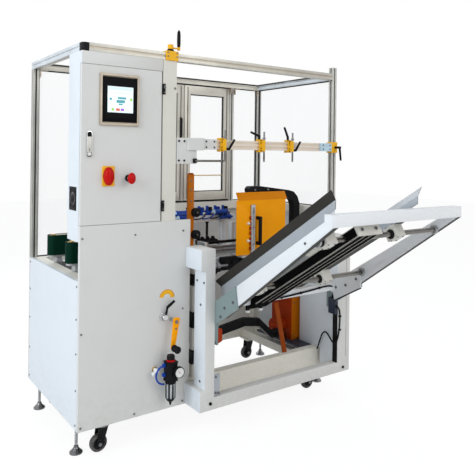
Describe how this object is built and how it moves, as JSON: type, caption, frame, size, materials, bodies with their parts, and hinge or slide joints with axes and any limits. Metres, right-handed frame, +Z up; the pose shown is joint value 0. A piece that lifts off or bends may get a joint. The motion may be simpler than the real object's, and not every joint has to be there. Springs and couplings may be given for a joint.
{
  "type": "case erector",
  "caption": "Case erector with guarded body, control cabinet, touch panel and sloping blank tray on casters",
  "frame": {"origin": "middle of the whole box on the floor", "axes": "Z up, X to the right along the front with the outfeed at minus X, Y to the back with the blank tray at minus Y"},
  "size_m": [1.64, 1.792, 2.069],
  "materials": {
    "white_paint": "satin",
    "cool_white": "satin",
    "silver": "satin",
    "clear_sheet": "gloss",
    "orange_paint": "satin",
    "yellow_paint": "satin",
    "black_plastic": "matte",
    "steel": "satin",
    "belt_rubber": "matte",
    "red_plastic": "gloss",
    "blue_plastic": "gloss",
    "clear_plastic": "gloss",
    "wheel_rubber": "matte"
  },
  "bodies": {
    "machine_body": {"base_frame": "white_paint", "left_side_panel": "cool_white", "front_panel": "white_paint", "back_panel": "white_paint", "right_side_panel": "cool_white", "electrical_cabinet": "white_paint", "cabinet_fan": "black_plastic", "door_hinges": "black_plastic", "lift_column": "white_paint", "crank_block": "yellow_paint", "guard_rails": "silver", "guard_posts": "silver", "guard_corner_cap": "black_plastic", "guard_windows": "clear_sheet", "filter_regulator": "black_plastic", "regulator_bowl": "clear_plastic", "air_tubes": "blue_plastic", "levelling_feet": "steel", "magazine_frame": "white_paint", "tray_frame": "white_paint", "tray_brackets": "cool_white", "tray_shafts": "steel", "tray_centre_beam": "silver", "conveyor_table": "steel", "side_belts": "belt_rubber", "flap_plate": "orange_paint", "flap_handle": "steel", "folding_arm": "black_plastic", "suction_bar": "orange_paint", "air_valves": "blue_plastic", "drive_box": "orange_paint", "deck_plate": "steel"},
    "control_door_body": {"control_door": "white_paint", "touch_panel": "black_plastic", "door_lock": "silver", "switch_plate": "yellow_paint", "emergency_stop": "red_plastic"},
    "main_switch_body": {"main_switch_knob": "red_plastic"},
    "lift_crank_body": {"lift_crank": "yellow_paint"},
    "adjust_crank_body": {"adjust_crank": "orange_paint"},
    "lock_lever_body": {"lock_lever": "black_plastic"},
    "guide_body": {"guide_bar": "silver", "guide_slide": "white_paint", "rod_clamps": "yellow_paint", "hold_down_rods": "steel", "clamp_levers": "black_plastic"},
    "left_door_body": {"left_guard_door": "silver", "left_door_pane": "clear_sheet"},
    "right_door_body": {"right_guard_door": "silver", "right_door_pane": "clear_sheet"},
    "left_wall_body": {"left_tray_wall": "steel"},
    "right_wall_body": {"right_tray_wall": "steel"},
    "front_left_caster": {"front_left_fork": "black_plastic"},
    "front_left_roller": {"front_left_wheel": "wheel_rubber"},
    "front_right_caster": {"front_right_fork": "black_plastic"},
    "front_right_roller": {"front_right_wheel": "wheel_rubber"},
    "back_left_caster": {"back_left_fork": "black_plastic"},
    "back_left_roller": {"back_left_wheel": "wheel_rubber"},
    "back_right_caster": {"back_right_fork": "black_plastic"},
    "back_right_roller": {"back_right_wheel": "wheel_rubber"}
  },
  "joints": [
    {"name": "control_door_swing", "type": "hinge", "parent": "machine_body", "child": "control_door_body", "pos_m": [-0.404, 0.059, 1.471], "axis": [0, 0, 1], "range_deg": [0, 115]},
    {"name": "main_switch_turn", "type": "hinge", "parent": "control_door_body", "child": "main_switch_body", "pos_m": [-0.69, 0.044, 1.3245], "axis": [0, 1, 0], "range_deg": [0, 90]},
    {"name": "lift_crank_turn", "type": "hinge", "parent": "machine_body", "child": "lift_crank_body", "pos_m": [-0.35126, 0.0815, 1.977], "axis": [0, 0, 1], "continuous": true},
    {"name": "adjust_crank_turn", "type": "hinge", "parent": "machine_body", "child": "adjust_crank_body", "pos_m": [-0.338, 0.034, 0.595], "axis": [0, 1, 0], "range_deg": [-30, 200]},
    {"name": "lock_lever_turn", "type": "hinge", "parent": "machine_body", "child": "lock_lever_body", "pos_m": [-0.386, 0.049, 0.616], "axis": [0, 1, 0], "range_deg": [-60, 30]},
    {"name": "guide_lift", "type": "slide", "parent": "machine_body", "child": "guide_body", "axis": [0, 0, 1], "range_m": [-0.25, 0.29]},
    {"name": "left_door_swing", "type": "hinge", "parent": "machine_body", "child": "left_door_body", "pos_m": [-0.1975, 0.8685, 1.509], "axis": [0, 0, 1], "range_deg": [0, 110]},
    {"name": "right_door_swing", "type": "hinge", "parent": "machine_body", "child": "right_door_body", "pos_m": [0.5375, 0.8685, 1.509], "axis": [0, 0, -1], "range_deg": [0, 110]},
    {"name": "left_wall_slide", "type": "slide", "parent": "machine_body", "child": "left_wall_body", "axis": [1, 0, 0], "range_m": [0, 0.065]},
    {"name": "right_wall_slide", "type": "slide", "parent": "machine_body", "child": "right_wall_body", "axis": [1, 0, 0], "range_m": [-0.15, 0.24]},
    {"name": "front_left_swivel", "type": "hinge", "parent": "machine_body", "child": "front_left_caster", "pos_m": [-0.674, 0.126, 0.13], "axis": [0, 0, 1], "continuous": true},
    {"name": "front_left_roll", "type": "hinge", "parent": "front_left_caster", "child": "front_left_roller", "pos_m": [-0.694, 0.126, 0.044], "axis": [0, 1, 0], "continuous": true},
    {"name": "front_right_swivel", "type": "hinge", "parent": "machine_body", "child": "front_right_caster", "pos_m": [0.674, 0.126, 0.13], "axis": [0, 0, 1], "continuous": true},
    {"name": "front_right_roll", "type": "hinge", "parent": "front_right_caster", "child": "front_right_roller", "pos_m": [0.654, 0.126, 0.044], "axis": [0, 1, 0], "continuous": true},
    {"name": "back_left_swivel", "type": "hinge", "parent": "machine_body", "child": "back_left_caster", "pos_m": [-0.674, 0.754, 0.13], "axis": [0, 0, 1], "continuous": true},
    {"name": "back_left_roll", "type": "hinge", "parent": "back_left_caster", "child": "back_left_roller", "pos_m": [-0.694, 0.754, 0.044], "axis": [0, 1, 0], "continuous": true},
    {"name": "back_right_swivel", "type": "hinge", "parent": "machine_body", "child": "back_right_caster", "pos_m": [0.674, 0.754, 0.13], "axis": [0, 0, 1], "continuous": true},
    {"name": "back_right_roll", "type": "hinge", "parent": "back_right_caster", "child": "back_right_roller", "pos_m": [0.654, 0.754, 0.044], "axis": [0, 1, 0], "continuous": true}
  ]
}
